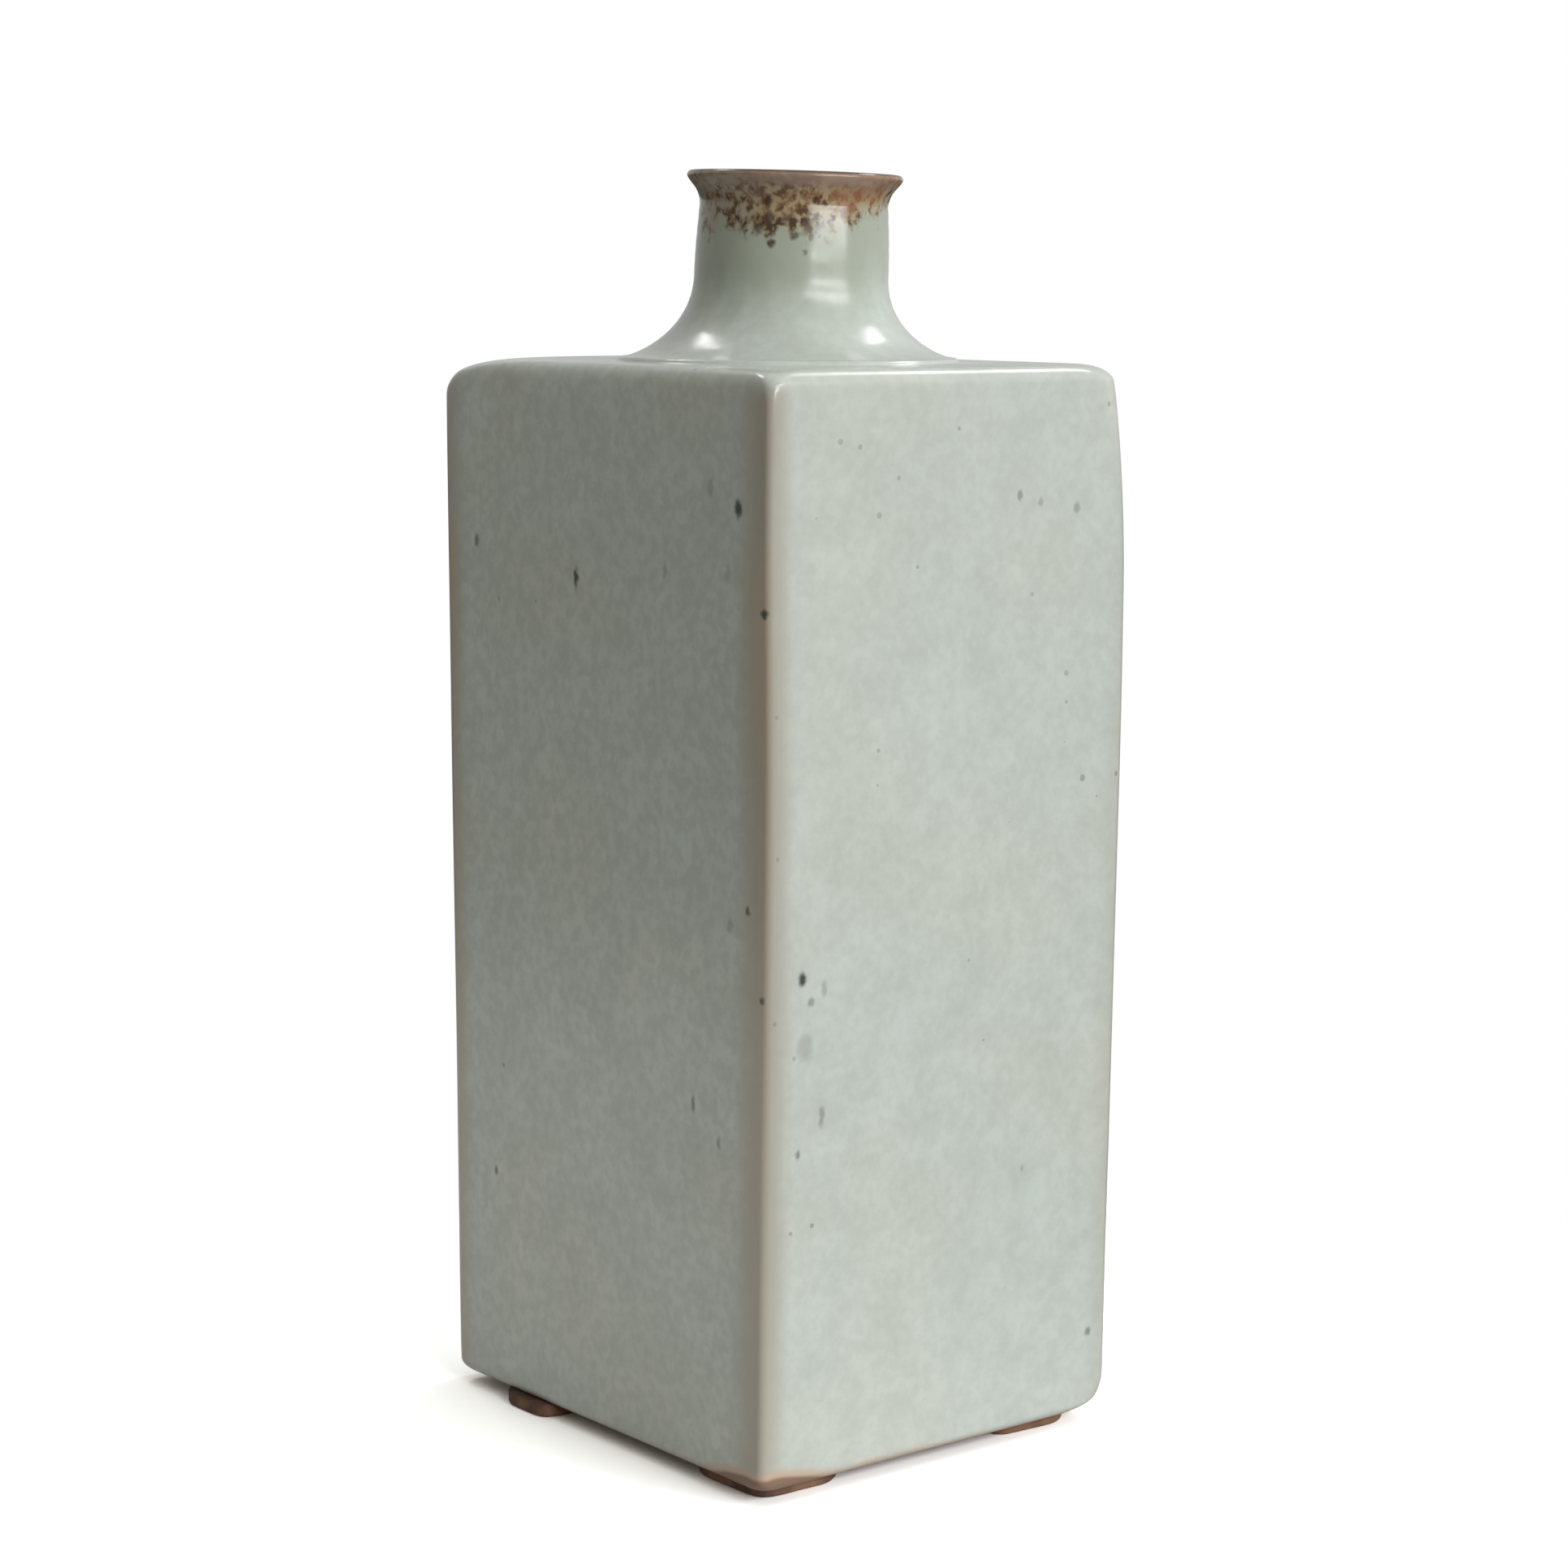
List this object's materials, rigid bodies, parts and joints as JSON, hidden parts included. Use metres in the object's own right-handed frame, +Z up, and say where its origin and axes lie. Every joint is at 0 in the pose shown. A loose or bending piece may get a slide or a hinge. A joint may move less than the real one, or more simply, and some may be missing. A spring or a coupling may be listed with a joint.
{
  "type": "slab-built bottle vase",
  "caption": "Slab-built stoneware bottle vase: tall body of nearly square plan on small corner feet, flat shoulder, short round neck with flared lip.",
  "frame": {"origin": "on the surface it stands on, under the middle of the body", "axes": "+Z up along the body and neck; the walls face -Y (front), +X (right), +Y (back) and -X (left)"},
  "size_m": [0.0722, 0.0864, 0.2004],
  "materials": {
    "glaze": "fired celadon glaze, satin gloss, pale grey-green with iron specks",
    "bare_clay": "unglazed iron-bearing stoneware, fired toasted brown",
    "inner_clay": "unglazed stoneware inside the body"
  },
  "bodies": {
    "root": {"base_slab": "bare_clay", "wall_front": "glaze", "wall_right": "glaze", "wall_back": "glaze", "wall_left": "glaze", "shoulder_slab": "glaze", "neck": "glaze", "base_seam_coil": "inner_clay", "seam_coil_back_right": "inner_clay", "seam_coil_back_left": "inner_clay", "seam_coil_front_left": "inner_clay", "seam_coil_front_right": "inner_clay", "foot_back_right": "bare_clay", "foot_back_left": "bare_clay", "foot_front_left": "bare_clay", "foot_front_right": "bare_clay"}
  },
  "joints": []
}
